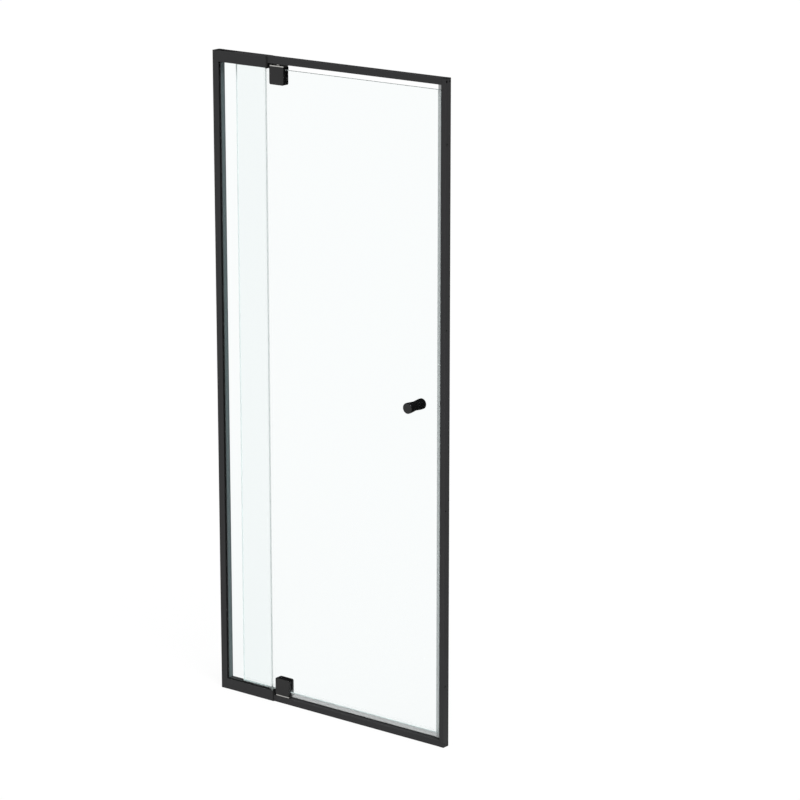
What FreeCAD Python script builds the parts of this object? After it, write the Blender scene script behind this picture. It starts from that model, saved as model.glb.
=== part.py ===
import FreeCAD, Part
import math
import os

# A framed pivot shower door whose width adjusts. A main frame carries a door pane on two clamps that
# turn on pivot pins, and a side panel with a fixed pane slides over the rails of the main frame.
# X runs to the right seen from outside the shower, Y runs into the shower and Z runs up. The origin is
# on the tray, midway between the two walls, in the middle plane of the door pane. Sizes are in mm.
# "end" is +1 for a piece at the top of the door and -1 for its twin at the bottom, and "depth" is how
# far a plane lies in from that end of the frame.

# Whole door
door_width = 800.0
door_height = 1850.0
width_travel = 80.0
pane_thickness = 6.0
pane_gap = 2.0
running_gap = 0.3

# Extrusions
extrusion_wall = 1.6
outer_edge = 0.8
rail_height = 18.0
port_wall = 1.1
glide_rib_height = 1.1
glide_rib_width = 2.5
least_insertion = 39.0
plug_length = 12.0
plug_flange = 2.0
plug_gap = 0.1

# Glazing pocket of the side panel
glazing_gap = 1.9
glazing_gap_back = 1.4
sleeve_pocket_depth = 11.1
jamb_pocket_depth = 13.0
gasket_base = 1.5

# Jambs
wall_jamb_width = 20.0
strike_jamb_width = 15.0
jamb_cap_thickness = 1.5
jamb_cap_spigot = 8.0
cover_thickness = 1.2
cover_leg = 5.0
wall_hole_radius = 2.5
wall_hole_count = 4
wall_hole_spacing = 500.0

# Sleeve end caps
end_cap_thickness = 4.0
end_cap_tongue = 6.0
end_cap_proud = 0.4
end_cap_lug = 1.6

# Door pane
sleeve_clearance_top = 2.0
sleeve_clearance_bottom = 4.0
closing_gap = 7.0

# Pivots
pivot_inset = 225.0
pin_radius = 4.0
pin_fit = 0.05
pin_press_depth = 6.0
pin_collar_radius = 6.5
pivot_gap_top = 7.2
pivot_gap_bottom = 4.8
bearing_gap_top = 0.3
bearing_gap_bottom = 0.1
plate_length = 48.0
plate_width = 20.0
plate_thickness = 1.2
bearing_length = 49.0
bearing_width = 23.0
bearing_thickness = 2.8
plate_corner = 3.0
plate_screw_offset = 17.0
bush_radius = 6.0
bush_length = 20.0
bush_floor = 2.0

# Clamps
clamp_size = 50.0
clamp_shell = 8.0
clamp_gasket = 1.0
clamp_corner = 5.0
clamp_rail_corner = 2.0
clamp_edge = 1.5
clamp_end_wall = 5.5
swing_gap = 3.8
notch_half_width = 15.0
notch_depth = 30.0
notch_corner = 6.0
notch_gap = 1.0
clamp_screw_spacing = 16.0
clamp_screw_depth = 29.0
clamp_screw_radius = 2.5
clamp_thread_end = 3.0
bearing_screw_side = 7.5

# Screws
small_screw_radius = 1.6
small_screw_length = 7.0
corner_screw_radius = 1.9
corner_screw_length = 28.0
screw_head_ratio = 1.9
hex_recess_ratio = 0.6
lock_screw_radius = 2.0
lock_head_radius = 3.8
lock_head_height = 2.2
lock_screw_inset = 12.0
lock_screw_pitch = 18.0

# Seals
seal_leg = 10.0
seal_wall = 0.8
seal_skirt = 14.0
seal_skirt_thickness = 1.6
seal_skirt_lean = 2.0
tail_bulb = 1.9
seal_end_gap = 1.0
edge_seal_blade = 7.5
edge_seal_leg = 8.0
edge_seal_wall = 0.8
strike_fin = 21.0
strike_fin_thickness = 1.5
strike_bead_radius = 1.2
strike_foot_width = 4.0
strike_foot_depth = 2.4
strike_neck = 1.4
seal_groove_lip = 1.4

# Knob
knob_inset = 87.5
knob_height = 950.0
knob_rim_radius = 15.0
knob_base_radius = 13.0
knob_rim_width = 8.0
knob_length = 29.0
knob_edge = 1.0
knob_washer = 1.0
knob_washer_radius = 11.0
knob_stud_radius = 3.0
knob_stud_reach = 14.0
knob_hole_radius = 6.0
knob_sleeve_gap = 0.2
grub_radius = 2.0
grub_length = 8.0
grub_offset = 8.0

# Places worked out from the sizes above
left_wall = -door_width / 2
right_wall = door_width / 2
door_face = pane_thickness / 2
fixed_back = -door_face - pane_gap
fixed_front = fixed_back - pane_thickness
pocket_front = fixed_front - glazing_gap
pocket_back = fixed_back + glazing_gap_back
sleeve_half = extrusion_wall - pocket_front
rail_half = sleeve_half - extrusion_wall - glide_rib_height - running_gap
slot_floor = rail_height + running_gap
pocket_floor = slot_floor + extrusion_wall
sleeve_height = pocket_floor + sleeve_pocket_depth
chamber_front = pocket_back + extrusion_wall
chamber_back = sleeve_half - extrusion_wall
wall_jamb_face = left_wall + wall_jamb_width
strike_jamb_face = right_wall - strike_jamb_width
pivot_x = left_wall + pivot_inset
clamp_half_depth = door_face + clamp_gasket + clamp_shell
swing_radius = math.hypot(clamp_size / 2 - clamp_edge, clamp_half_depth - clamp_edge) + clamp_edge
panel_end = pivot_x - swing_radius - swing_gap
sleeve_end = panel_end - end_cap_thickness
fixed_right = panel_end - edge_seal_blade
fixed_left = wall_jamb_face - jamb_pocket_depth + gasket_base
rail_left = panel_end - least_insertion - width_travel
door_left = rail_left
door_right = strike_jamb_face - closing_gap
fixed_depth = pocket_floor + gasket_base
knob_x = door_right - knob_inset
knob_base = door_face + knob_washer
port_radius = corner_screw_radius + port_wall
port_reach = port_radius - port_wall / 2
rail_port_y = rail_half - extrusion_wall - port_reach
sleeve_port_depth = (pocket_floor + sleeve_height - extrusion_wall) / 2
sleeve_port_y = [chamber_front + port_reach, chamber_back - port_reach]
groove_front = door_face + running_gap + (strike_fin_thickness - strike_foot_width) / 2
groove_back = groove_front + strike_foot_width
strike_chamber_back = groove_front - seal_groove_lip


def door_edge(end):
    """Depth of the door pane's top or bottom edge."""
    return sleeve_height + (sleeve_clearance_top if end > 0 else sleeve_clearance_bottom)


def clamp_start(end):
    """Depth at which the clamp begins, past the gap that the bearing fills."""
    return rail_height + (pivot_gap_top if end > 0 else pivot_gap_bottom)


def level(end, depth):
    """Height of the plane at this depth."""
    return door_height - depth if end > 0 else depth


def band(end, near, far):
    """Lower and upper height of the layer between two depths."""
    return sorted((level(end, near), level(end, far)))


def box(x, y, z):
    """Box between pairs of coordinates."""
    return Part.makeBox(x[1] - x[0], y[1] - y[0], z[1] - z[0], FreeCAD.Vector(x[0], y[0], z[0]))


def rod(radius, start, direction, length):
    """Cylinder from a point along a direction."""
    return Part.makeCylinder(radius, length, FreeCAD.Vector(*start), FreeCAD.Vector(*direction))


def rounded_corner(before, corner, after, radius):
    """Start, middle and end of the arc that rounds a corner."""
    back = (before - corner).normalize()
    ahead = (after - corner).normalize()
    half = back.getAngle(ahead) / 2
    reach = radius / math.tan(half)
    middle = corner + (back + ahead).normalize() * (radius / math.sin(half) - radius)
    return corner + back * reach, middle, corner + ahead * reach


def rounded_face(points, radii):
    """Flat face through the points in order, with each corner rounded by its own radius."""
    corners = [FreeCAD.Vector(*p) for p in points]
    count = len(corners)
    arcs = [rounded_corner(corners[i - 1], corners[i], corners[(i + 1) % count], radii[i])
            for i in range(count)]
    edges = []
    for i, (start, middle, stop) in enumerate(arcs):
        if radii[i] > 0:
            edges.append(Part.Arc(start, middle, stop).toShape())
        edges.append(Part.makeLine(stop, arcs[(i + 1) % count][0]))
    return Part.Face(Part.Wire(edges))


def prism(points, radii, direction):
    """Rounded outline pushed along a direction."""
    return rounded_face(points, radii).extrude(FreeCAD.Vector(*direction))


def bar_along_x(x, y, z):
    """Bar with the rounded outer edges of an extrusion, running along X."""
    points = [(x[0], y[0], z[0]), (x[0], y[1], z[0]), (x[0], y[1], z[1]), (x[0], y[0], z[1])]
    return prism(points, [outer_edge] * 4, (x[1] - x[0], 0, 0))


def bar_along_z(x, y, z):
    """Bar with the rounded outer edges of an extrusion, standing up."""
    points = [(x[0], y[0], z[0]), (x[1], y[0], z[0]), (x[1], y[1], z[0]), (x[0], y[1], z[0])]
    return prism(points, [outer_edge] * 4, (0, 0, z[1] - z[0]))


def union(shapes):
    """One solid out of overlapping shapes."""
    return shapes[0].multiFuse(shapes[1:]).removeSplitter()


def group(shapes):
    """Separate solids of one node."""
    return Part.makeCompound(shapes)


def countersunk(radius, length, start, direction, recess=True):
    """Flat-head screw whose head is flush at the start point."""
    head_radius = radius * screw_head_ratio
    head_depth = head_radius - radius
    axis = FreeCAD.Vector(*direction)
    point = FreeCAD.Vector(*start)
    head = Part.makeCone(head_radius, radius, head_depth, point, axis)
    screw = head.fuse(Part.makeCylinder(radius, length, point, axis))
    if recess:
        hex_radius = radius * hex_recess_ratio
        screw = screw.cut(hexagon(hex_radius, head_depth, point, axis))
    return screw


def hexagon(radius, length, point, axis):
    """Six-sided prism along an axis."""
    side = FreeCAD.Vector(axis.z, axis.x, axis.y)
    other = axis.cross(side)
    corners = []
    for i in range(7):
        angle = math.radians(60 * i)
        corners.append(point + side * (radius * math.cos(angle)) + other * (radius * math.sin(angle)))
    return Part.Face(Part.makePolygon(corners)).extrude(axis * length)


# Main frame ------------------------------------------------------------------------------------


def screw_port(end, x, y, depth, stem):
    """Open round port that a corner screw threads into, with the stem that joins it to a wall."""
    z = level(end, depth)
    length = x[1] - x[0]
    ring = rod(port_radius, (x[0], y, z), (1, 0, 0), length)
    bore = rod(corner_screw_radius, (x[0], y, z), (1, 0, 0), length)
    return union([ring, stem]).cut(bore)


def rail_ports(end):
    """Two ports beside the pivot, on the front and back walls of the rail."""
    ports = []
    for side in (-1, 1):
        reach = sorted((side * rail_port_y, side * (rail_half - extrusion_wall / 2)))
        middle = rail_height / 2
        stem = box((rail_left, strike_jamb_face), reach, band(end, middle - port_wall, middle + port_wall))
        stem = stem.cut(rod(corner_screw_radius, (rail_left, side * rail_port_y, level(end, middle)),
                            (1, 0, 0), strike_jamb_face - rail_left))
        ports.append(screw_port(end, (rail_left, strike_jamb_face), side * rail_port_y, middle, stem))
    return ports


def rail(end):
    """Inner rail: a tube with two screw ports, drilled for the pivot."""
    x = (rail_left, strike_jamb_face)
    y = (-rail_half, rail_half)
    inner_y = (-rail_half + extrusion_wall, rail_half - extrusion_wall)
    tube = bar_along_x(x, y, band(end, 0, rail_height))
    tube = tube.cut(box(x, inner_y, band(end, extrusion_wall, rail_height - extrusion_wall)))
    tube = union([tube] + rail_ports(end))
    inner_wall = level(end, rail_height - pin_press_depth)
    tube = tube.cut(rod(pin_radius, (pivot_x, 0, inner_wall), (0, 0, -end), pin_press_depth))
    for screw in pivot_plate_screws_of(end):
        tube = tube.cut(screw)
    return tube


def rail_plug(end):
    """Moulded plug that closes the rail's free end and steadies it in the sleeve."""
    y = (-rail_half + extrusion_wall + plug_gap, rail_half - extrusion_wall - plug_gap)
    near = extrusion_wall + plug_gap
    body = box((rail_left, rail_left + plug_length), y, band(end, near, rail_height - near))
    for side in (-1, 1):
        point = (rail_left, side * rail_port_y, level(end, rail_height / 2))
        body = body.cut(rod(port_radius + plug_gap, point, (1, 0, 0), plug_length))
        reach = sorted((side * rail_port_y, side * rail_half))
        slot = band(end, rail_height / 2 - port_wall - plug_gap, rail_height / 2 + port_wall + plug_gap)
        body = body.cut(box((rail_left, rail_left + plug_length), reach, slot))
    flange_x = (rail_left - plug_flange, rail_left)
    flange = bar_along_x(flange_x, (-rail_half, rail_half), band(end, 0, rail_height))
    return union([body, flange])


def pivot_plate(end):
    """Steel plate on the rail's inner face that holds the pivot pin."""
    size = (plate_length, plate_width, plate_thickness)
    return plate_on(end, rail_height, size, pin_radius).cut(group(pivot_plate_screws_of(end)))


def plate_on(end, depth, size, hole_radius):
    """Rounded plate of this length, width and thickness with a hole on the pivot axis."""
    length, width, thickness = size
    half_x = length / 2
    half_y = width / 2
    z = level(end, depth)
    points = [(pivot_x - half_x, -half_y, z), (pivot_x + half_x, -half_y, z),
              (pivot_x + half_x, half_y, z), (pivot_x - half_x, half_y, z)]
    plate = prism(points, [plate_corner] * 4, (0, 0, -end * thickness))
    return plate.cut(rod(hole_radius, (pivot_x, 0, z), (0, 0, -end), thickness))


def pivot_plate_screws_of(end):
    """Two flat-head screws from the plate into the rail's wall."""
    z = level(end, rail_height + plate_thickness)
    screws = []
    for side in (-1, 1):
        start = (pivot_x + side * plate_screw_offset, 0, z)
        screws.append(countersunk(small_screw_radius, small_screw_length, start, (0, 0, end), False))
    return screws


def pivot_pin(end):
    """Pin with a collar that keeps the bearing plate off the pivot plate."""
    bearing_gap = bearing_gap_top if end > 0 else bearing_gap_bottom
    start = rail_height - pin_press_depth
    tip = clamp_start(end) + bush_length - bush_floor - running_gap
    collar_start = rail_height + plate_thickness
    collar_end = clamp_start(end) - bearing_thickness - bearing_gap
    pin = rod(pin_radius, (pivot_x, 0, level(end, start)), (0, 0, -end), tip - start)
    collar = rod(pin_collar_radius, (pivot_x, 0, level(end, collar_start)), (0, 0, -end),
                 collar_end - collar_start)
    pin = union([pin, collar])
    tip_edges = [e for e in pin.Edges if abs(e.BoundBox.ZMin - level(end, tip)) < 0.01]
    return pin.makeChamfer(pin_radius / 4, tip_edges)


def strike_jamb():
    """Extrusion on the strike side: open front chamber, closed back chamber and a seal groove."""
    x = (strike_jamb_face, right_wall)
    z = (jamb_cap_thickness, door_height - jamb_cap_thickness)
    web = right_wall - extrusion_wall
    foot_end = strike_jamb_face + seal_groove_lip + strike_foot_depth
    inner_back = rail_half - extrusion_wall
    body = bar_along_z(x, (-rail_half, rail_half), z)
    front_chamber = box((strike_jamb_face, web), (-rail_half + extrusion_wall, strike_chamber_back), z)
    back_chamber = box((foot_end + seal_groove_lip, web), (groove_front, inner_back), z)
    side_chamber = box((strike_jamb_face + seal_groove_lip, foot_end + seal_groove_lip),
                       (groove_back + seal_groove_lip, inner_back), z)
    groove = box((strike_jamb_face + seal_groove_lip, foot_end), (groove_front, groove_back), z)
    middle = (groove_front + groove_back) / 2
    mouth = box((strike_jamb_face, foot_end), (middle - strike_neck / 2, middle + strike_neck / 2), z)
    body = body.cut([front_chamber, back_chamber.fuse(side_chamber), groove.fuse(mouth)])
    body = body.cut(wall_holes(right_wall, -1, strike_hole_y()))
    return body.cut(group(strike_corner_screws(False)))


def strike_hole_y():
    """Line of the wall holes, in the middle of the open chamber."""
    return (strike_chamber_back - rail_half + extrusion_wall) / 2


def wall_hole_heights():
    """Heights of the wall holes, even about the middle of the jamb."""
    first = (door_height - wall_hole_spacing * (wall_hole_count - 1)) / 2
    return [first + wall_hole_spacing * i for i in range(wall_hole_count)]


def wall_holes(x, inward, y):
    """Drills through a jamb's web from the wall side."""
    return group([rod(wall_hole_radius, (x, y, z), (inward, 0, 0), 2 * extrusion_wall)
                  for z in wall_hole_heights()])


def strike_corner_screws(recess=True):
    """Screws from the wall side of the strike jamb into the ports of both rails."""
    screws = []
    for end in (1, -1):
        for side in (-1, 1):
            start = (right_wall, side * rail_port_y, level(end, rail_height / 2))
            screws.append(countersunk(corner_screw_radius, corner_screw_length, start, (-1, 0, 0), recess))
    return screws


def cover_strip(face, inward, y, z):
    """Snap-in strip with two legs that closes a jamb's open chamber."""
    plate = box(sorted((face, face + inward * cover_thickness)), y, z)
    legs = []
    for low in (y[0], y[1] - cover_thickness):
        legs.append(box(sorted((face, face + inward * cover_leg)), (low, low + cover_thickness), z))
    return union([plate] + legs)


def strike_cover():
    """Cover strip between the two rails."""
    y = (-rail_half + extrusion_wall, strike_chamber_back)
    return cover_strip(strike_jamb_face, 1, y, (rail_height, door_height - rail_height))


def wall_cover():
    """Cover strip between the two sleeves."""
    y = (chamber_front, chamber_back)
    return cover_strip(wall_jamb_face, -1, y, (sleeve_height, door_height - sleeve_height))


def jamb_cap(end, x, half, chamber_x, chamber_y):
    """Moulded cap over the jamb's end, with a spigot in its open chamber."""
    plate = bar_along_z(x, (-half, half), band(end, 0, jamb_cap_thickness))
    spigot = box(chamber_x, chamber_y, band(end, jamb_cap_thickness, jamb_cap_thickness + jamb_cap_spigot))
    return union([plate, spigot])


def strike_caps():
    """Caps at both ends of the strike jamb, their spigots clear of the corner screws' chamber."""
    web = right_wall - extrusion_wall
    chamber_x = (strike_jamb_face + seal_groove_lip * 2 + strike_foot_depth, web)
    spigot_end = jamb_cap_thickness + jamb_cap_spigot
    caps = []
    for end in (1, -1):
        cap = jamb_cap(end, (strike_jamb_face, right_wall), rail_half, chamber_x,
                       (groove_front, rail_half - extrusion_wall))
        point = (chamber_x[0], rail_port_y, level(end, rail_height / 2))
        relief = rod(corner_screw_radius + running_gap, point, (1, 0, 0), web - chamber_x[0])
        slot = box(chamber_x, (rail_port_y - corner_screw_radius - running_gap,
                               rail_port_y + corner_screw_radius + running_gap),
                   band(end, rail_height / 2, spigot_end + running_gap))
        caps.append(cap.cut(relief).cut(slot))
    return group(caps)


def strike_seal():
    """Translucent strip: a foot in the jamb's groove and a fin that the door closes against."""
    z = (rail_height, door_height - rail_height)
    front = door_face + running_gap
    back = front + strike_fin_thickness
    middle = (groove_front + groove_back) / 2
    foot_x = strike_jamb_face + seal_groove_lip
    fin = box((strike_jamb_face - strike_fin + strike_bead_radius, strike_jamb_face), (front, back), z)
    neck = box((strike_jamb_face, foot_x), (middle - strike_neck / 2, middle + strike_neck / 2), z)
    foot = box((foot_x, foot_x + strike_foot_depth), (groove_front, groove_back), z)
    bead = rod(strike_bead_radius, (strike_jamb_face - strike_fin + strike_bead_radius,
                                    front + strike_bead_radius, z[0]), (0, 0, 1), z[1] - z[0])
    return union([fin, neck, foot, bead])


# Side panel ------------------------------------------------------------------------------------


def wall_jamb():
    """Extrusion on the wall side: glazing pocket, hollow behind it and an open screw chamber."""
    z = (jamb_cap_thickness, door_height - jamb_cap_thickness)
    pocket_end = wall_jamb_face - jamb_pocket_depth
    body = bar_along_z((left_wall, wall_jamb_face), (-sleeve_half, sleeve_half), z)
    pocket = box((pocket_end, wall_jamb_face), (pocket_front, pocket_back), z)
    hollow = box((left_wall + extrusion_wall, pocket_end - extrusion_wall), (pocket_front, pocket_back), z)
    chamber = box((left_wall + extrusion_wall, wall_jamb_face), (chamber_front, chamber_back), z)
    body = body.cut([pocket, hollow, chamber])
    body = body.cut(wall_holes(left_wall, 1, wall_hole_y()))
    return body.cut(group(sleeve_corner_screws(False)))


def wall_hole_y():
    """Line of the wall holes, in the middle of the open chamber."""
    return (chamber_front + chamber_back) / 2


def sleeve_corner_screws(recess=True):
    """Screws from the wall side of the wall jamb into the ports of both sleeves."""
    length = wall_jamb_width + corner_screw_length / 2
    screws = []
    for end in (1, -1):
        for y in sleeve_port_y:
            start = (left_wall, y, level(end, sleeve_port_depth))
            screws.append(countersunk(corner_screw_radius, length, start, (1, 0, 0), recess))
    return screws


def wall_caps():
    """Caps at both ends of the wall jamb."""
    chamber_x = (left_wall + extrusion_wall, wall_jamb_face)
    x = (left_wall, wall_jamb_face)
    return group([jamb_cap(end, x, sleeve_half, chamber_x, (chamber_front, chamber_back))
                  for end in (1, -1)])


def sleeve(end):
    """Outer rail: an open slot for the inner rail with glide ribs, a glazing pocket and a hollow."""
    x = (wall_jamb_face, sleeve_end)
    slot_half = sleeve_half - extrusion_wall
    body = bar_along_x(x, (-sleeve_half, sleeve_half), band(end, 0, sleeve_height))
    slot = box(x, (-slot_half, slot_half), band(end, 0, slot_floor))
    pocket = box(x, (pocket_front, pocket_back), band(end, pocket_floor, sleeve_height))
    hollow = box(x, (chamber_front, chamber_back), band(end, pocket_floor, sleeve_height - extrusion_wall))
    body = body.cut([slot, pocket, hollow])
    pieces = [body]
    for side in (-1, 1):
        rib_y = sorted((side * (slot_half - glide_rib_height), side * (slot_half + extrusion_wall / 2)))
        for near in (glide_rib_width, rail_height - 2 * glide_rib_width):
            pieces.append(box(x, rib_y, band(end, near, near + glide_rib_width)))
    for y in sleeve_port_y:
        stem = box(x, (y - port_wall, y + port_wall), band(end, pocket_floor, sleeve_port_depth))
        stem = stem.cut(rod(corner_screw_radius, (x[0], y, level(end, sleeve_port_depth)), (1, 0, 0),
                            x[1] - x[0]))
        pieces.append(screw_port(end, x, y, sleeve_port_depth, stem))
    body = union(pieces)
    return body.cut(group(lock_screws_of(end)))


def lock_screws_of(end):
    """Screws from inside the shower that clamp the sleeve on the rail."""
    z = level(end, rail_height / 2)
    shank = sleeve_half - rail_half - running_gap
    screws = []
    for i in range(2):
        x = sleeve_end - lock_screw_inset - lock_screw_pitch * i
        head = rod(lock_head_radius, (x, sleeve_half, z), (0, 1, 0), lock_head_height)
        rim = [e for e in head.Edges if abs(e.BoundBox.YMin - sleeve_half - lock_head_height) < 0.01]
        head = head.makeFillet(lock_head_height / 2, rim)
        stem = rod(lock_screw_radius, (x, sleeve_half, z), (0, -1, 0), shank)
        recess = hexagon(lock_screw_radius * hex_recess_ratio, lock_head_height / 2,
                         FreeCAD.Vector(x, sleeve_half + lock_head_height / 2, z), FreeCAD.Vector(0, 1, 0))
        screws.append(union([head, stem]).cut(recess))
    return screws


def sleeve_cap(end):
    """Moulded cap on the sleeve's end, with a window for the rail, a tongue and a lug at the pane."""
    x = (sleeve_end, panel_end)
    window_half = rail_half + running_gap
    plate = bar_along_x(x, (-sleeve_half, sleeve_half), band(end, 0, sleeve_height + end_cap_proud))
    window = box(x, (-window_half, window_half), band(end, 0, slot_floor))
    lug = box(x, (-sleeve_half, pocket_back), band(end, sleeve_height, sleeve_height + end_cap_lug))
    tongue_x = (sleeve_end - end_cap_tongue, sleeve_end)
    tongue = box(tongue_x, (chamber_front, chamber_back), band(end, pocket_floor,
                                                               sleeve_height - extrusion_wall))
    for y in sleeve_port_y:
        point = (tongue_x[0], y, level(end, sleeve_port_depth))
        tongue = tongue.cut(rod(port_radius + plug_gap, point, (1, 0, 0), end_cap_tongue))
        tongue = tongue.cut(box(tongue_x, (y - port_wall - plug_gap, y + port_wall + plug_gap),
                                band(end, pocket_floor, sleeve_port_depth)))
    return union([plate.cut(window), lug, tongue])


def fixed_pane():
    """Fixed pane held in the wall jamb and in both sleeves."""
    z = (fixed_depth, door_height - fixed_depth)
    return box((fixed_left, fixed_right), (fixed_front, fixed_back), z)


def sleeve_gasket(end):
    """U-shaped glazing gasket round the pane's edge in a sleeve's pocket."""
    x = (wall_jamb_face, fixed_right)
    body = box(x, (pocket_front, pocket_back), band(end, pocket_floor, sleeve_height))
    return body.cut(fixed_pane())


def jamb_gasket():
    """U-shaped glazing gasket round the pane's edge in the wall jamb's pocket."""
    x = (wall_jamb_face - jamb_pocket_depth, wall_jamb_face)
    z = (fixed_depth, door_height - fixed_depth)
    return box(x, (pocket_front, pocket_back), z).cut(fixed_pane())


def edge_seal():
    """Clear seal clipped on the fixed pane's free edge, its blade reaching towards the door pane."""
    near = sleeve_height + end_cap_lug
    z = (near, door_height - near)
    foot = door_edge(-1) + seal_leg + running_gap
    wall = edge_seal_wall
    legs_x = (fixed_right - edge_seal_leg, fixed_right)
    front = box(legs_x, (fixed_front - wall, fixed_front), z)
    back = box(legs_x, (fixed_back, fixed_back + wall), z)
    web = box((fixed_right, fixed_right + wall), (fixed_front - wall, fixed_back + wall), z)
    tip_y = -door_face - running_gap
    root_y = fixed_back - pane_thickness / 3
    points = [(fixed_right, root_y - wall, foot), (fixed_right, root_y, foot),
              (panel_end, tip_y, foot), (panel_end, tip_y - wall, foot)]
    blade = prism(points, [0, 0, wall / 3, wall / 3], (0, 0, z[1] - foot))
    return union([front, back, web, blade])


# Door ------------------------------------------------------------------------------------------


def notch(end, gap):
    """Hinge cut-out of the door pane, grown or shrunk by a gap."""
    half = notch_half_width - gap
    near = door_edge(end)
    far = near + notch_depth - gap
    corner = notch_corner - gap
    outer = clamp_start(end)
    y = -door_face
    points = [(pivot_x - half, y, level(end, outer)), (pivot_x - half, y, level(end, far)),
              (pivot_x + half, y, level(end, far)), (pivot_x + half, y, level(end, outer))]
    return prism(points, [0, corner, corner, 0], (0, pane_thickness, 0))


def door_pane():
    """Door pane with two hinge notches and the knob hole."""
    z = (door_edge(-1), door_height - door_edge(1))
    pane = box((door_left, door_right), (-door_face, door_face), z)
    knob_hole = rod(knob_hole_radius, (knob_x, -door_face, knob_height), (0, 1, 0), pane_thickness)
    return pane.cut([notch(1, 0), notch(-1, 0), knob_hole])


def clamp_half(end, side):
    """Cast half of a clamp: side -1 is outside the shower and takes the threads, +1 takes the heads."""
    start = clamp_start(end)
    finish = start + clamp_size
    half = clamp_size / 2
    seat = door_face + clamp_gasket
    near, far = level(end, start), level(end, finish)
    points = [(pivot_x - half, side * seat, near), (pivot_x - half, side * seat, far),
              (pivot_x + half, side * seat, far), (pivot_x + half, side * seat, near)]
    radii = [clamp_rail_corner, clamp_corner, clamp_corner, clamp_rail_corner]
    shell = prism(points, radii, (0, side * clamp_shell, 0))
    outer_y = side * clamp_half_depth
    rim = [e for e in shell.Edges if abs(e.CenterOfMass.y - outer_y) < 0.01]
    shell = shell.makeFillet(clamp_edge, rim)
    boss = clamp_boss(end, side, seat)
    body = union([shell, boss])
    bore = rod(bush_radius, (pivot_x, 0, near), (0, 0, -end), bush_length)
    return body.cut([bore] + clamp_screw_tools(end) + bearing_screws_of(end))


def clamp_boss(end, side, seat):
    """Raised land that fills the pane's notch and closes the clamp's outer end."""
    start = clamp_start(end)
    half = clamp_size / 2 - clamp_edge
    y = sorted((0, side * seat))
    end_wall = box((pivot_x - half, pivot_x + half), y, band(end, start, start + clamp_end_wall))
    inner = notch_half_width - notch_gap
    far = door_edge(end) + notch_depth - notch_gap
    corner = notch_corner - notch_gap
    near_z, far_z = level(end, start), level(end, far)
    points = [(pivot_x - inner, y[0], near_z), (pivot_x - inner, y[0], far_z),
              (pivot_x + inner, y[0], far_z), (pivot_x + inner, y[0], near_z)]
    core = prism(points, [0, corner, corner, 0], (0, seat, 0))
    return union([end_wall, core])


def clamp_screw_tools(end):
    """Solids of the clamp screws, used to cut their own holes."""
    return [clamp_screw(end, side, False) for side in (-1, 1)]


def clamp_screw(end, side, recess=True):
    """Flat-head screw from inside the shower through the notch into the outer half."""
    x = pivot_x + side * clamp_screw_spacing / 2
    z = level(end, clamp_start(end) + clamp_screw_depth)
    length = 2 * clamp_half_depth - clamp_thread_end
    return countersunk(clamp_screw_radius, length, (x, clamp_half_depth, z), (0, -1, 0), recess)


def clamp_gaskets(end):
    """Pads between the pane and both halves, cut out round the notch."""
    start = door_edge(end)
    finish = clamp_start(end) + clamp_size - seal_end_gap
    half = clamp_size / 2 - seal_end_gap
    hole = (pivot_x - notch_half_width, pivot_x + notch_half_width)
    pads = []
    for side in (-1, 1):
        y = sorted((side * door_face, side * (door_face + clamp_gasket)))
        pad = box((pivot_x - half, pivot_x + half), y, band(end, start, finish))
        pads.append(pad.cut(box(hole, y, band(end, start, door_edge(end) + notch_depth))))
    return group(pads)


def bush(end):
    """Closed nylon bush in the clamp that turns on the pin."""
    z = level(end, clamp_start(end))
    body = rod(bush_radius, (pivot_x, 0, z), (0, 0, -end), bush_length)
    return body.cut(rod(pin_radius + pin_fit, (pivot_x, 0, z), (0, 0, -end), bush_length - bush_floor))


def bearing_plate(end):
    """Bright plate on the clamp's outer end that keeps the bush in."""
    size = (bearing_length, bearing_width, bearing_thickness)
    plate = plate_on(end, clamp_start(end) - bearing_thickness, size, pin_radius + running_gap)
    return plate.cut(bearing_screws_of(end))


def bearing_screws_of(end):
    """Two flat-head screws across a diagonal, one into each half of the clamp."""
    z = level(end, clamp_start(end) - bearing_thickness)
    screws = []
    for side in (-1, 1):
        start = (pivot_x + side * plate_screw_offset, side * bearing_screw_side, z)
        screws.append(countersunk(small_screw_radius, small_screw_length, start, (0, 0, -end), False))
    return screws


def seal_channel(x, end):
    """Clip of a bottom seal: two legs on the pane and the web below its edge."""
    depth = door_edge(end)
    outer = door_face + seal_wall
    body = box(x, (-outer, outer), band(end, depth - seal_wall, depth + seal_leg))
    return body.cut(box(x, (-door_face, door_face), band(end, depth, depth + seal_leg)))


def bottom_seal():
    """Main seal right of the clamp, with a skirt that leans into the shower."""
    x = (pivot_x + clamp_size / 2 + seal_end_gap, door_right)
    root = door_edge(-1) - seal_wall / 2
    tip = door_edge(-1) - seal_skirt
    half = seal_skirt_thickness / 2
    points = [(x[0], -half, root), (x[0], half, root),
              (x[0], half + seal_skirt_lean, tip), (x[0], seal_skirt_lean - half, tip)]
    skirt = prism(points, [0, 0, half / 2, half / 2], (x[1] - x[0], 0, 0))
    relief_x = (strike_jamb_face - strike_fin - seal_end_gap, door_right)
    relief_y = (door_face, door_face + seal_wall)
    relief = box(relief_x, relief_y, (door_edge(-1) - seal_wall, door_edge(-1) + seal_leg))
    return union([seal_channel(x, -1).cut(relief), skirt])


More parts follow.
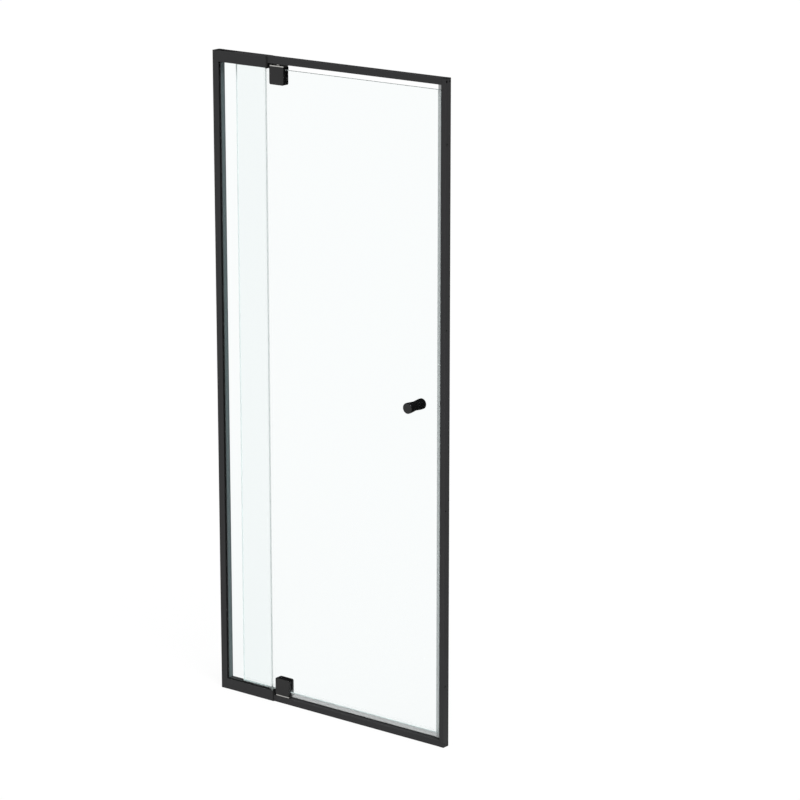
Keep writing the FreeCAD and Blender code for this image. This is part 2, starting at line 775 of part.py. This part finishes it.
def tail_seal():
    """Short seal under the pane's tail, which passes over the bottom sleeve."""
    x = (door_left, pivot_x - clamp_size / 2 - seal_end_gap)
    centre = door_edge(-1) - seal_wall - tail_bulb / 2
    bulb = rod(tail_bulb, (x[0], 0, centre + tail_bulb / 2), (1, 0, 0), x[1] - x[0])
    below = box(x, (-tail_bulb, tail_bulb), (centre - tail_bulb, door_edge(-1) - seal_wall / 2))
    return union([seal_channel(x, -1), bulb.common(below)])


def knob_half(side):
    """Round knob that narrows towards the pane, blind-threaded for the stud."""
    profile = [FreeCAD.Vector(0, knob_base, 0), FreeCAD.Vector(knob_base_radius, knob_base, 0)]
    top = knob_base + knob_length
    rim = FreeCAD.Vector(knob_rim_radius, top - knob_rim_width, 0)
    shoulder = FreeCAD.Vector(knob_rim_radius, top - knob_edge, 0)
    face_edge = FreeCAD.Vector(knob_rim_radius - knob_edge, top, 0)
    turn = knob_edge * (1 - math.sqrt(0.5))
    round_mid = FreeCAD.Vector(knob_rim_radius - turn, top - turn, 0)
    centre = FreeCAD.Vector(0, top, 0)
    wire = Part.Wire([Part.makeLine(profile[0], profile[1]), Part.makeLine(profile[1], rim),
                      Part.makeLine(rim, shoulder),
                      Part.Arc(shoulder, round_mid, face_edge).toShape(),
                      Part.makeLine(face_edge, centre), Part.makeLine(centre, profile[0])])
    knob = Part.Face(wire).revolve(FreeCAD.Vector(0, 0, 0), FreeCAD.Vector(0, 1, 0), 360)
    if side < 0:
        knob = knob.mirror(FreeCAD.Vector(0, 0, 0), FreeCAD.Vector(0, 1, 0))
    knob.translate(FreeCAD.Vector(knob_x, 0, knob_height))
    knob = knob.cut(knob_stud())
    return knob.cut(grub_hole()) if side > 0 else knob


def knob_stud():
    """Threaded stud that joins the two halves through the pane."""
    reach = knob_base + knob_stud_reach
    return rod(knob_stud_radius, (knob_x, -reach, knob_height), (0, 1, 0), 2 * reach)


def knob_washers():
    """Washers between the pane and the knob halves."""
    washers = []
    for y in (-door_face - knob_washer, door_face):
        disc = rod(knob_washer_radius, (knob_x, y, knob_height), (0, 1, 0), knob_washer)
        washers.append(disc.cut(rod(knob_stud_radius, (knob_x, y, knob_height), (0, 1, 0), knob_washer)))
    return group(washers)


def knob_sleeve():
    """Nylon sleeve that keeps the stud off the glass."""
    start = (knob_x, -door_face, knob_height)
    body = rod(knob_hole_radius - knob_sleeve_gap, start, (0, 1, 0), pane_thickness)
    return body.cut(rod(knob_stud_radius, start, (0, 1, 0), pane_thickness))


def grub_hole():
    """Threaded hole for the grub screw, open at the underside of the knob."""
    start = (knob_x, knob_base + grub_offset, knob_height - knob_stud_radius)
    return rod(grub_radius, start, (0, 0, -1), knob_rim_radius)


def grub_screw():
    """Grub screw under the inner knob half that locks it on the stud."""
    y = knob_base + grub_offset
    tip = knob_height - knob_stud_radius
    depth = grub_length / 3
    point = FreeCAD.Vector(knob_x, y, tip - grub_length + depth)
    socket = hexagon(grub_radius * hex_recess_ratio, depth, point, FreeCAD.Vector(0, 0, -1))
    return rod(grub_radius, (knob_x, y, tip), (0, 0, -1), grub_length).cut(socket)


nodes = {
    "strike_jamb": strike_jamb(),
    "strike_jamb_cover": strike_cover(),
    "strike_jamb_caps": strike_caps(),
    "strike_seal": strike_seal(),
    "rail_corner_screws": group(strike_corner_screws()),
    "pivot_plate_screws": group(pivot_plate_screws_of(1) + pivot_plate_screws_of(-1)),
    "wall_jamb": wall_jamb(),
    "wall_jamb_cover": wall_cover(),
    "wall_jamb_caps": wall_caps(),
    "sleeve_corner_screws": group(sleeve_corner_screws()),
    "sleeve_lock_screws": group(lock_screws_of(1) + lock_screws_of(-1)),
    "fixed_pane": fixed_pane(),
    "fixed_pane_jamb_gasket": jamb_gasket(),
    "fixed_pane_edge_seal": edge_seal(),
    "door_pane": door_pane(),
    "bearing_plate_screws": group(bearing_screws_of(1) + bearing_screws_of(-1)),
    "bottom_seal": bottom_seal(),
    "tail_seal": tail_seal(),
    "knob_front": knob_half(-1),
    "knob_back": knob_half(1),
    "knob_stud": knob_stud(),
    "knob_washers": knob_washers(),
    "knob_sleeve": knob_sleeve(),
    "knob_grub_screw": grub_screw(),
}

for end, name in ((1, "top"), (-1, "bottom")):
    nodes[name + "_rail"] = rail(end)
    nodes[name + "_rail_plug"] = rail_plug(end)
    nodes[name + "_pivot_plate"] = pivot_plate(end)
    nodes[name + "_pivot_pin"] = pivot_pin(end)
    nodes[name + "_sleeve"] = sleeve(end)
    nodes[name + "_sleeve_cap"] = sleeve_cap(end)
    nodes[name + "_glazing_gasket"] = sleeve_gasket(end)
    nodes[name + "_clamp_front"] = clamp_half(end, -1)
    nodes[name + "_clamp_back"] = clamp_half(end, 1)
    nodes[name + "_clamp_gaskets"] = clamp_gaskets(end)
    nodes[name + "_clamp_screws"] = group([clamp_screw(end, side) for side in (-1, 1)])
    nodes[name + "_pivot_bush"] = bush(end)
    nodes[name + "_bearing_plate"] = bearing_plate(end)

os.makedirs("parts", exist_ok=True)
for name, shape in nodes.items():
    shape.exportStep("parts/" + name + ".step")
    print(name, len(shape.Solids), "solids", round(shape.Volume), "mm3")
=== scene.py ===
import math

import bmesh
import bpy
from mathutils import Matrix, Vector


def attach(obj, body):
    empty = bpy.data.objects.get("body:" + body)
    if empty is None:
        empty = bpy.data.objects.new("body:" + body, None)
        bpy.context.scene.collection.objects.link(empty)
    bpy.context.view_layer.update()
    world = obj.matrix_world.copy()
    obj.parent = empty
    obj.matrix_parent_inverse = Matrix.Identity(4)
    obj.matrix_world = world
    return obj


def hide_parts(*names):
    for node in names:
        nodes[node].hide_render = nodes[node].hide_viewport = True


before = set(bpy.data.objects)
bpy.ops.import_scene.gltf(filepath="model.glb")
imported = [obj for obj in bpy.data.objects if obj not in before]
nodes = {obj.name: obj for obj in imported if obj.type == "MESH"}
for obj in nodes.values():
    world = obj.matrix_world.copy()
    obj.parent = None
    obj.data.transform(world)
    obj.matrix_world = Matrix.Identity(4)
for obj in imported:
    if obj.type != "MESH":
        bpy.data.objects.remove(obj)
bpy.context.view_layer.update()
scene = bpy.context.scene
print("frame loaded:", len(nodes), "nodes")

mm = 0.001
white = (1, 1, 1, 1)


def linear(hexColour):
    # sRGB hex value turned to the linear colour that a shader takes
    channels = [int(hexColour[i:i + 2], 16) / 255 for i in (1, 3, 5)]
    return [c / 12.92 if c <= 0.04045 else ((c + 0.055) / 1.055) ** 2.4 for c in channels] + [1]


def scaleOf(size):
    # scale of a pattern whose marks are this many millimetres across
    return 1000 / size


def addNode(tree, kind, settings=None, **links):
    # sockets go by their identifiers, with _ for a blank in the links
    node = tree.nodes.new(kind)
    sockets = {socket.identifier.replace(" ", "_"): socket for socket in node.inputs}
    for name, value in (settings or {}).items():
        if name.replace(" ", "_") in sockets:
            sockets[name.replace(" ", "_")].default_value = value
        else:
            setattr(node, name, value)
    for name, source in links.items():
        tree.links.new(source, sockets[name])
    return node


def resultOf(mix, kind):
    # a mix has one result for numbers and another for colours
    return next(socket for socket in mix.outputs if socket.identifier == "Result_" + kind)


def newMaterial(name):
    material = bpy.data.materials.new(name)
    material.use_nodes = True
    tree = material.node_tree
    tree.nodes.clear()
    place = addNode(tree, "ShaderNodeTexCoord")
    return material, tree, place.outputs["Object"]


def mottledSurface(tree, look, tone, sheen, settings, **links):
    # colour drifts between the look's two colours with the tone, and roughness with the sheen
    colour = addNode(tree, "ShaderNodeMix",
                     {"data_type": "RGBA", "A_Color": linear(look["colour"]),
                      "B_Color": linear(look["light"])}, Factor_Float=tone)
    smooth, rough = look["roughness"]
    shine = addNode(tree, "ShaderNodeMapRange", {"To Min": smooth, "To Max": rough}, Value=sheen)
    shader = addNode(tree, "ShaderNodeBsdfPrincipled", settings,
                     Base_Color=resultOf(colour, "Color"), Roughness=shine.outputs["Result"],
                     **links)
    addNode(tree, "ShaderNodeOutputMaterial", Surface=shader.outputs["BSDF"])


# finishes: sizes of their marks are in millimetres

coat = dict(colour="#323233", light="#373738", roughness=(0.44, 0.54), specular=0.1,
            peel=2.2, peelHeight=0.012, grain=0.45, grainHeight=0.006, drift=140)


def powderCoat():
    # black polyester powder coat baked on aluminium: even, low sheen, a faint orange peel
    material, tree, place = newMaterial("blackPowderCoat")
    drift = addNode(tree, "ShaderNodeTexNoise", {"Scale": scaleOf(coat["drift"]), "Detail": 2},
                    Vector=place)
    peel = addNode(tree, "ShaderNodeTexNoise", {"Scale": scaleOf(coat["peel"]), "Detail": 1},
                   Vector=place)
    grain = addNode(tree, "ShaderNodeTexNoise", {"Scale": scaleOf(coat["grain"]), "Detail": 0},
                    Vector=place)
    waves = addNode(tree, "ShaderNodeBump", {"Distance": coat["peelHeight"] * mm, "Strength": 1},
                    Height=peel.outputs["Fac"])
    relief = addNode(tree, "ShaderNodeBump", {"Distance": coat["grainHeight"] * mm, "Strength": 1},
                     Height=grain.outputs["Fac"], Normal=waves.outputs["Normal"])
    mottledSurface(tree, coat, drift.outputs["Fac"], peel.outputs["Fac"],
                   {"Specular IOR Level": coat["specular"]}, Normal=relief.outputs["Normal"])
    return material


casting = dict(colour="#0a0a0b", light="#0e0e0f", roughness=(0.24, 0.32), specular=0.45,
               cell=1.1, height=0.006)


def castBlack():
    # die-cast zinc under a satin black coat: closer and smoother than the extrusions
    material, tree, place = newMaterial("satinBlackZinc")
    cells = addNode(tree, "ShaderNodeTexNoise", {"Scale": scaleOf(casting["cell"]), "Detail": 2},
                    Vector=place)
    relief = addNode(tree, "ShaderNodeBump", {"Distance": casting["height"] * mm, "Strength": 1},
                     Height=cells.outputs["Fac"])
    mottledSurface(tree, casting, cells.outputs["Fac"], cells.outputs["Fac"],
                   {"Specular IOR Level": casting["specular"]}, Normal=relief.outputs["Normal"])
    return material


mouldedAbs = dict(colour="#131313", light="#1b1b1c", roughness=(0.5, 0.62), specular=0.4,
                  spark=0.6, height=0.02)


def sparkedAbs():
    # black ABS from a spark-eroded mould: dull, with a fine even grain
    material, tree, place = newMaterial("blackMouldedAbs")
    spark = addNode(tree, "ShaderNodeTexNoise",
                    {"Scale": scaleOf(mouldedAbs["spark"]), "Detail": 3}, Vector=place)
    relief = addNode(tree, "ShaderNodeBump", {"Distance": mouldedAbs["height"] * mm, "Strength": 1},
                     Height=spark.outputs["Fac"])
    mottledSurface(tree, mouldedAbs, spark.outputs["Fac"], spark.outputs["Fac"],
                   {"Specular IOR Level": mouldedAbs["specular"]}, Normal=relief.outputs["Normal"])
    return material


strip = dict(colour="#556062", light="#5f6a6c", roughness=(0.42, 0.5), specular=0.4,
             line=0.9, length=60)


def greyStrip():
    # rigid grey PVC cover strip, drawn through a die, so its faint lines run along it
    material, tree, place = newMaterial("extrudedGreyPvc")
    across, along = scaleOf(strip["line"]), scaleOf(strip["length"])
    stretch = addNode(tree, "ShaderNodeMapping", {"Scale": (across, across, along)}, Vector=place)
    lines = addNode(tree, "ShaderNodeTexNoise", {"Scale": 1, "Detail": 2},
                    Vector=stretch.outputs["Vector"])
    mottledSurface(tree, strip, lines.outputs["Fac"], lines.outputs["Fac"],
                   {"Specular IOR Level": strip["specular"]})
    return material


glass = dict(tint="#fcfdfd", absorb="#6cc7c2", density=4.6, ior=1.15, specular=0.5,
             wave=180, waveHeight=0.01)


def toughGlass():
    # clear float glass, heat toughened: a trace of green in its depth, a very slight roller wave
    material, tree, place = newMaterial("clearToughenedGlass")
    wave = addNode(tree, "ShaderNodeTexNoise", {"Scale": scaleOf(glass["wave"]), "Detail": 0},
                   Vector=place)
    relief = addNode(tree, "ShaderNodeBump", {"Distance": glass["waveHeight"] * mm, "Strength": 1},
                     Height=wave.outputs["Fac"])
    shader = addNode(tree, "ShaderNodeBsdfPrincipled",
                     {"Base Color": linear(glass["tint"]), "Roughness": 0.0, "IOR": glass["ior"],
                      "Specular IOR Level": glass["specular"], "Transmission Weight": 1.0},
                     Normal=relief.outputs["Normal"])
    depth = addNode(tree, "ShaderNodeVolumeAbsorption",
                    {"Color": linear(glass["absorb"]), "Density": glass["density"]})
    # lamps pass through, so that the floor isn't dark under a clear pane
    clear = addNode(tree, "ShaderNodeBsdfTransparent", {"Color": linear(glass["tint"])})
    rays = addNode(tree, "ShaderNodeLightPath")
    lamplight = addNode(tree, "ShaderNodeMath", {"operation": "MAXIMUM"},
                        Value=rays.outputs["Is Shadow Ray"],
                        Value_001=rays.outputs["Is Diffuse Ray"])
    mix = addNode(tree, "ShaderNodeMixShader", Fac=lamplight.outputs["Value"],
                  Shader=shader.outputs["BSDF"], Shader_001=clear.outputs["BSDF"])
    addNode(tree, "ShaderNodeOutputMaterial", Surface=mix.outputs["Shader"],
            Volume=depth.outputs["Volume"])
    return material


groundGlass = dict(roughness=(0.5, 0.62), specular=0.2, grain=1.2)
edgeColours = dict(
    groundGlassEdge=dict(colour="#c3cfce", light="#cdd8d7"),
    # painted light: the door's left edge is made near white to stand for light shining through the
    # frosted glass
    paintedLitGlassEdge=dict(colour="#f2f7f6", light="#f9fbfb"),
    greenGlassEdge=dict(colour="#97a6a4", light="#a1afad"),
)


def groundEdge(name):
    # seamed and ground edge of float glass: frosted, pale green to white; the near-white copy is
    # painted light, standing for the light that shines through the frosted edge
    look = dict(groundGlass, **edgeColours[name])
    material, tree, place = newMaterial(name)
    marks = addNode(tree, "ShaderNodeTexNoise", {"Scale": scaleOf(look["grain"]), "Detail": 2},
                    Vector=place)
    mottledSurface(tree, look, marks.outputs["Fac"], marks.outputs["Fac"],
                   {"Specular IOR Level": look["specular"]})
    return material


# body is the share of light that the seal stops, clearness what goes through its colour
vinyls = dict(
    clearPvc=dict(colour="#f4f7f8", light="#fafcfc", roughness=(0.2, 0.28), clearness=0.0,
                  body=0.03, ior=1.5, specular=0.2, cloud=6.0),
    frostedPvc=dict(colour="#dde1e1", light="#e4e7e7", roughness=(0.4, 0.48), clearness=0.1,
                    body=0.6, ior=1.5, specular=0.2, cloud=6.0),
    smokyPvc=dict(colour="#c2c6c6", light="#cacdcd", roughness=(0.4, 0.48), clearness=0.1,
                  body=0.6, ior=1.5, specular=0.2, cloud=6.0),
)


def softVinyl(name):
    # plasticised PVC seal: lets light through and blurs it, and a thin clear one hardly shows
    look = vinyls[name]
    material, tree, place = newMaterial(name)
    cloud = addNode(tree, "ShaderNodeTexNoise", {"Scale": scaleOf(look["cloud"]), "Detail": 2},
                    Vector=place)
    mottledSurface(tree, look, cloud.outputs["Fac"], cloud.outputs["Fac"],
                   {"IOR": look["ior"], "Transmission Weight": look["clearness"],
                    "Specular IOR Level": look["specular"], "Alpha": look["body"]})
    return material


rubber = dict(colour="#101010", light="#1a1a1a", roughness=(0.7, 0.82), specular=0.3, bloom=1.4)


def gasketRubber():
    # black EPDM glazing gasket: dull, slightly chalky
    material, tree, place = newMaterial("blackEpdmRubber")
    bloom = addNode(tree, "ShaderNodeTexNoise", {"Scale": scaleOf(rubber["bloom"]), "Detail": 3},
                    Vector=place)
    mottledSurface(tree, rubber, bloom.outputs["Fac"], bloom.outputs["Fac"],
                   {"Specular IOR Level": rubber["specular"]})
    return material


polyamide = dict(colour="#d9d7cd", light="#e6e4dc", roughness=(0.4, 0.5), cloud=2.0,
                 glow=0.1, glowDepth=1.5)


def naturalNylon():
    # turned natural nylon: off-white, a little waxy
    material, tree, place = newMaterial("naturalNylon")
    cloud = addNode(tree, "ShaderNodeTexNoise", {"Scale": scaleOf(polyamide["cloud"]), "Detail": 2},
                    Vector=place)
    mottledSurface(tree, polyamide, cloud.outputs["Fac"], cloud.outputs["Fac"],
                   {"Subsurface Weight": polyamide["glow"],
                    "Subsurface Scale": polyamide["glowDepth"] * mm})
    return material


stainless = dict(colour="#b8b7b4", light="#d0ceca", roughness=(0.2, 0.3), line=0.25, length=12)


def brushedSteel():
    # stainless sheet and bar with the fine lines of a belt
    material, tree, place = newMaterial("brushedStainless")
    along, across = scaleOf(stainless["length"]), scaleOf(stainless["line"])
    stretch = addNode(tree, "ShaderNodeMapping", {"Scale": (along, across, across)}, Vector=place)
    lines = addNode(tree, "ShaderNodeTexNoise", {"Scale": 1, "Detail": 2},
                    Vector=stretch.outputs["Vector"])
    mottledSurface(tree, stainless, lines.outputs["Fac"], lines.outputs["Fac"], {"Metallic": 1.0})
    return material


screwBlack = dict(colour="#1a1a1b", light="#262628", roughness=(0.34, 0.5), metallic=0.6, patch=0.8)


def oxideScrew():
    # stainless screw with a black oxide finish: dark, with metal in its shine
    material, tree, place = newMaterial("blackOxideSteel")
    patch = addNode(tree, "ShaderNodeTexNoise",
                    {"Scale": scaleOf(screwBlack["patch"]), "Detail": 2}, Vector=place)
    mottledSurface(tree, screwBlack, patch.outputs["Fac"], patch.outputs["Fac"],
                   {"Metallic": screwBlack["metallic"]})
    return material


finishes = {
    "black_frame": powderCoat(),
    "black_cast": castBlack(),
    "black_plastic": sparkedAbs(),
    "grey_strip": greyStrip(),
    "door_glass": toughGlass(),
    "clear_seal": softVinyl("clearPvc"),
    "grey_seal": softVinyl("frostedPvc"),
    "gasket": gasketRubber(),
    "nylon": naturalNylon(),
    "steel": brushedSteel(),
    "black_screw": oxideScrew(),
}
# the strip that the door closes against is a shade darker than the seals on the door
ownFinishes = {"strike_seal": softVinyl("smokyPvc")}
for name, piece in nodes.items():
    slot = piece.data.materials[0].name.split(".")[0]
    piece.data.materials.clear()
    piece.data.materials.append(ownFinishes.get(name, finishes[slot]))
print("finishes set:", len(finishes) + len(ownFinishes))


# panes and seals: lengths in millimetres, flat is the angle in degrees that still counts as flat

copies = dict(merge=0.01, flat=0.5)
panes = dict(arris=0.6, faceOn=0.99)
seals = dict(legs=35.0, film=0.05, touch=0.02, cut=0.001)


def copyOf(name):
    # a node's triangles merged into flat faces
    shell = bmesh.new()
    shell.from_mesh(nodes[name].data)
    bmesh.ops.remove_doubles(shell, verts=shell.verts, dist=copies["merge"] * mm)
    bmesh.ops.dissolve_limit(shell, angle_limit=math.radians(copies["flat"]), verts=shell.verts,
                             edges=shell.edges)
    return shell


def addPiece(shell, name, node, body, materials):
    # new piece that stands for a node and rides on its body
    mesh = bpy.data.meshes.new(name)
    shell.normal_update()
    shell.to_mesh(mesh)
    shell.free()
    for material in materials:
        mesh.materials.append(material)
    piece = bpy.data.objects.new(name, mesh)
    scene.collection.objects.link(piece)
    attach(piece, body)
    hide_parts(node)
    return piece


def isBroad(face):
    # the pane's front or back, which look along Y
    return abs(face.normal.y) > panes["faceOn"]


def makePane(node, name, body, ground, left):
    # pane with its sharp edges taken off and its edges ground, the left one painted near white, a
    # painted light for the light that shines through its frosted edge
    shell = copyOf(node)
    sharp = [side for side in shell.edges
             if len(side.link_faces) == 2 and sum(map(isBroad, side.link_faces)) == 1]
    bmesh.ops.bevel(shell, geom=sharp, offset=panes["arris"] * mm, offset_type="OFFSET",
                    segments=1, profile=0.5, affect="EDGES", clamp_overlap=True, material=-1)
    leftEnd = min(vert.co.x for vert in shell.verts) + 2 * panes["arris"] * mm
    broadIndex, groundIndex, leftIndex = range(3)
    for face in shell.faces:
        edgeIndex = leftIndex if face.calc_center_median().x < leftEnd else groundIndex
        face.material_index = broadIndex if isBroad(face) else edgeIndex
    return addPiece(shell, name, node, body, [finishes["door_glass"], ground, left])


def offGlass(shell, pane):
    # a film of air between the seal's legs and the pane's two faces
    depths = [vert.co.y for vert in nodes[pane].data.vertices]
    for face, side in ((min(depths), -1), (max(depths), 1)):
        for vert in shell.verts:
            if abs(vert.co.y - face) < seals["touch"] * mm:
                vert.co.y += side * seals["film"] * mm


def makeEdgeSeal(node, name, body):
    # clear blade that grips the fixed pane's free edge
    shell = copyOf(node)
    offGlass(shell, "fixed_pane")
    return addPiece(shell, name, node, body, [finishes["clear_seal"]])


def makeSeal(node, name, body):
    # seal drawn from two compounds: clear legs on the glass, grey below its edge
    shell = copyOf(node)
    offGlass(shell, "door_pane")
    everything = shell.verts[:] + shell.edges[:] + shell.faces[:]
    legs = seals["legs"] * mm
    bmesh.ops.bisect_plane(shell, geom=everything, dist=seals["cut"] * mm, plane_co=(0, 0, legs),
                           plane_no=(0, 0, 1))
    greyIndex, clearIndex = range(2)
    for face in shell.faces:
        face.material_index = clearIndex if face.calc_center_median().z > legs else greyIndex
    return addPiece(shell, name, node, body,
                    [finishes["grey_seal"], finishes["clear_seal"]])


greenEdge = groundEdge("greenGlassEdge")
makePane("door_pane", "doorPane", "door", groundEdge("groundGlassEdge"),
         groundEdge("paintedLitGlassEdge"))
makePane("fixed_pane", "fixedPane", "side_panel", greenEdge, greenEdge)
makeSeal("bottom_seal", "bottomSeal", "door")
makeSeal("tail_seal", "tailSeal", "door")
makeEdgeSeal("fixed_pane_edge_seal", "edgeSeal", "side_panel")
print("panes and seals ready")


# studio: floor and sky spans say where, along Y, the mirrored light falls off

studio = dict(floorSize=80, floorColour="#bcbcbc", seenColour="#595959", floorGlow=0.887,
              worldLight=0.5, seenSky=1.0, frontGloss=0.9, skyGloss=0.25, backGloss=0.03,
              floorSpan=(-0.2, 0.6), skySpan=(-0.1, 0.3), key=3.0, keySoftness=34,
              keyFrom=(0.50, -0.38, 0.78))


def glossLevel(tree, place, span, front):
    # gloss surfaces mirror a lit floor in front of the door and dark flags behind it
    near, far = studio[span]
    axis = addNode(tree, "ShaderNodeSeparateXYZ", Vector=place)
    level = addNode(tree, "ShaderNodeMapRange",
                    {"From Min": near, "From Max": far, "To Min": studio[front],
                     "To Max": studio["backGloss"]}, Value=axis.outputs["Y"])
    return level.outputs["Result"]


def mirroredRay(tree, rays):
    # 1 for a ray that has left a gloss surface, also where it went on through a pane
    deep = addNode(tree, "ShaderNodeMath", {"operation": "GREATER_THAN", "Value_001": 0.5},
                   Value=rays.outputs["Glossy Depth"])
    return deep.outputs["Value"]


def seenRay(tree, rays):
    # 1 for a ray from the camera, also where it went on through a pane
    seen = addNode(tree, "ShaderNodeMath", {"operation": "MAXIMUM"},
                   Value=rays.outputs["Is Camera Ray"],
                   Value_001=rays.outputs["Is Transmission Ray"])
    return seen.outputs["Value"]


def makeFloor():
    mesh = bpy.data.meshes.new("studioFloor")
    sheet = bmesh.new()
    bmesh.ops.create_grid(sheet, x_segments=1, y_segments=1, size=studio["floorSize"] / 2)
    sheet.to_mesh(mesh)
    sheet.free()
    floor = bpy.data.objects.new("studioFloor", mesh)
    scene.collection.objects.link(floor)
    material, tree, place = newMaterial("paleFloor")
    rays = addNode(tree, "ShaderNodeLightPath")
    seen = seenRay(tree, rays)
    colour = addNode(tree, "ShaderNodeMix",
                     {"data_type": "RGBA", "A_Color": linear(studio["floorColour"]),
                      "B_Color": linear(studio["seenColour"])}, Factor_Float=seen)
    matt = addNode(tree, "ShaderNodeBsdfDiffuse", Color=resultOf(colour, "Color"))
    level = addNode(tree, "ShaderNodeMix",
                    {"data_type": "FLOAT", "A_Float": 0.0, "B_Float": studio["floorGlow"]},
                    Factor_Float=seen)
    glow = addNode(tree, "ShaderNodeEmission", {"Color": white}, Strength=resultOf(level, "Float"))
    lit = addNode(tree, "ShaderNodeAddShader", Shader=matt.outputs["BSDF"],
                  Shader_001=glow.outputs["Emission"])
    mirrored = addNode(tree, "ShaderNodeEmission", {"Color": white},
                       Strength=glossLevel(tree, place, "floorSpan", "frontGloss"))
    mix = addNode(tree, "ShaderNodeMixShader", Fac=mirroredRay(tree, rays),
                  Shader=lit.outputs["Shader"], Shader_001=mirrored.outputs["Emission"])
    addNode(tree, "ShaderNodeOutputMaterial", Surface=mix.outputs["Shader"])
    mesh.materials.append(material)


def makeWorld():
    # white where the camera or a see-through ray meets it, weaker as the light on the object
    world = bpy.data.worlds.new("whiteStudio")
    scene.world = world
    world.use_nodes = True
    tree = world.node_tree
    tree.nodes.clear()
    rays = addNode(tree, "ShaderNodeLightPath")
    toward = addNode(tree, "ShaderNodeTexCoord")
    plain = addNode(tree, "ShaderNodeMix",
                    {"data_type": "FLOAT", "A_Float": studio["worldLight"],
                     "B_Float": studio["seenSky"]}, Factor_Float=seenRay(tree, rays))
    light = addNode(tree, "ShaderNodeMix", {"data_type": "FLOAT"},
                    Factor_Float=mirroredRay(tree, rays), A_Float=resultOf(plain, "Float"),
                    B_Float=glossLevel(tree, toward.outputs["Generated"], "skySpan", "skyGloss"))
    sky = addNode(tree, "ShaderNodeBackground", {"Color": white},
                  Strength=resultOf(light, "Float"))
    addNode(tree, "ShaderNodeOutputWorld", Surface=sky.outputs["Background"])


def makeKey():
    # one broad soft lamp, far away, so that the floor is lit evenly out to the horizon
    data = bpy.data.lights.new("keyLamp", "SUN")
    data.energy = studio["key"]
    data.angle = math.radians(studio["keySoftness"])
    lamp = bpy.data.objects.new("keyLamp", data)
    lamp.rotation_mode = "QUATERNION"
    lamp.rotation_quaternion = (-Vector(studio["keyFrom"])).to_track_quat("-Z", "Y")
    scene.collection.objects.link(lamp)


makeFloor()
makeWorld()
makeKey()
print("studio ready")


# camera: lens and sensor in millimetres, reach and place in metres, angles in degrees

shot = dict(lens=146.56, sensor=36, reach=200, place=(5.45511, -6.69812, 3.21752),
            azimuth=37.902, pitch=14.9018)
cameraData = bpy.data.cameras.new("shotCamera")
cameraData.lens = shot["lens"]
cameraData.sensor_width = shot["sensor"]
cameraData.clip_end = shot["reach"]
camera = bpy.data.objects.new("shotCamera", cameraData)
camera.location = shot["place"]
camera.rotation_euler = (math.radians(90 - shot["pitch"]), 0, math.radians(shot["azimuth"]))
scene.collection.objects.link(camera)
scene.camera = camera
scene.view_settings.view_transform = "Standard"
print("camera set")
